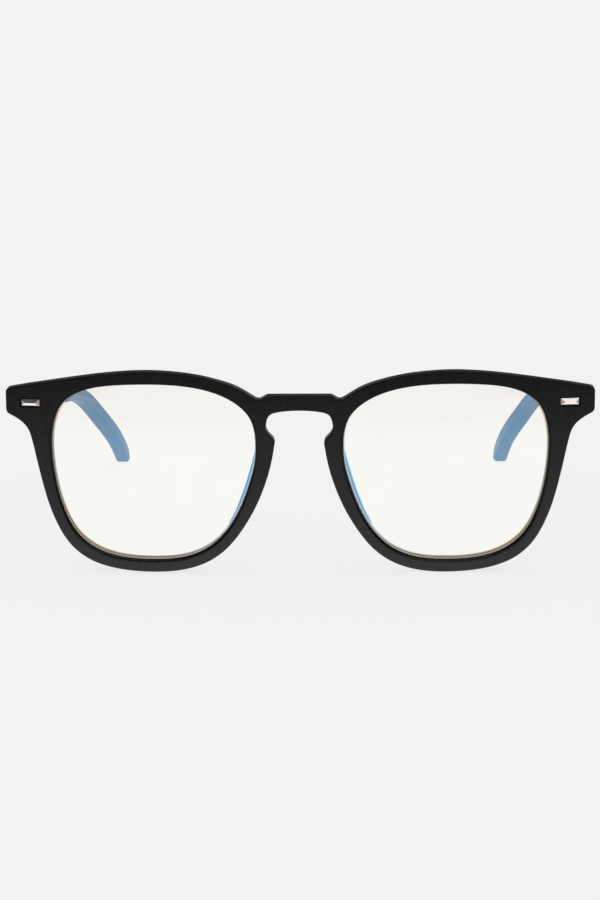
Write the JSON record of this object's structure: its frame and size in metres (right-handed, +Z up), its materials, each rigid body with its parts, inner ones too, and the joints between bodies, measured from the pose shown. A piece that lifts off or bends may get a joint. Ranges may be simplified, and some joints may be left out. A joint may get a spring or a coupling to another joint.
{
  "type": "light-filtering spectacles",
  "caption": "Keyhole-bridge spectacles in black plastic with clear light-filtering lenses, polished corner plaques and folding temples, standing open on their rims and temple tips.",
  "frame": {"origin": "centre of the whole open pair's bounding box at the height of the surface it stands on", "axes": "+X to the wearer's left, -Y the way the wearer looks, +Z up; the pair stands open on its rim bottoms and temple tips at z = 0"},
  "size_m": [0.1406, 0.139, 0.0486],
  "materials": {
    "front": "matte",
    "temple": "matte",
    "lens": "polished",
    "nose_pad": "satin",
    "plaque": "polished",
    "hinge": "satin",
    "screw": "polished",
    "rivet": "satin",
    "core_wire": "satin"
  },
  "bodies": {
    "front": {"front_frame": "front", "lens_left": "lens", "lens_right": "lens", "nose_pad_left": "nose_pad", "nose_pad_right": "nose_pad", "front_plaque_left": "plaque", "front_plaque_right": "plaque", "hinge_front_leaf_left": "hinge", "front_leaf_rivets_left": "rivet", "hinge_screw_left": "screw", "hinge_front_leaf_right": "hinge", "front_leaf_rivets_right": "rivet", "hinge_screw_right": "screw"},
    "temple_arm_left": {"temple_left": "temple", "temple_core_wire_left": "core_wire", "hinge_temple_leaf_left": "hinge", "temple_leaf_rivets_left": "rivet"},
    "temple_arm_right": {"temple_right": "temple", "temple_core_wire_right": "core_wire", "hinge_temple_leaf_right": "hinge", "temple_leaf_rivets_right": "rivet"}
  },
  "joints": [
    {"name": "left_temple_fold", "type": "hinge", "parent": "front", "child": "temple_arm_left", "pos_m": [0.0642, -0.05794, 0.0408], "axis": [0, 0.1582, 0.9874], "range_deg": [0, 84.5]},
    {"name": "right_temple_fold", "type": "hinge", "parent": "front", "child": "temple_arm_right", "pos_m": [-0.0642, -0.05794, 0.0408], "axis": [0, -0.1582, -0.9874], "range_deg": [0, 71]}
  ]
}
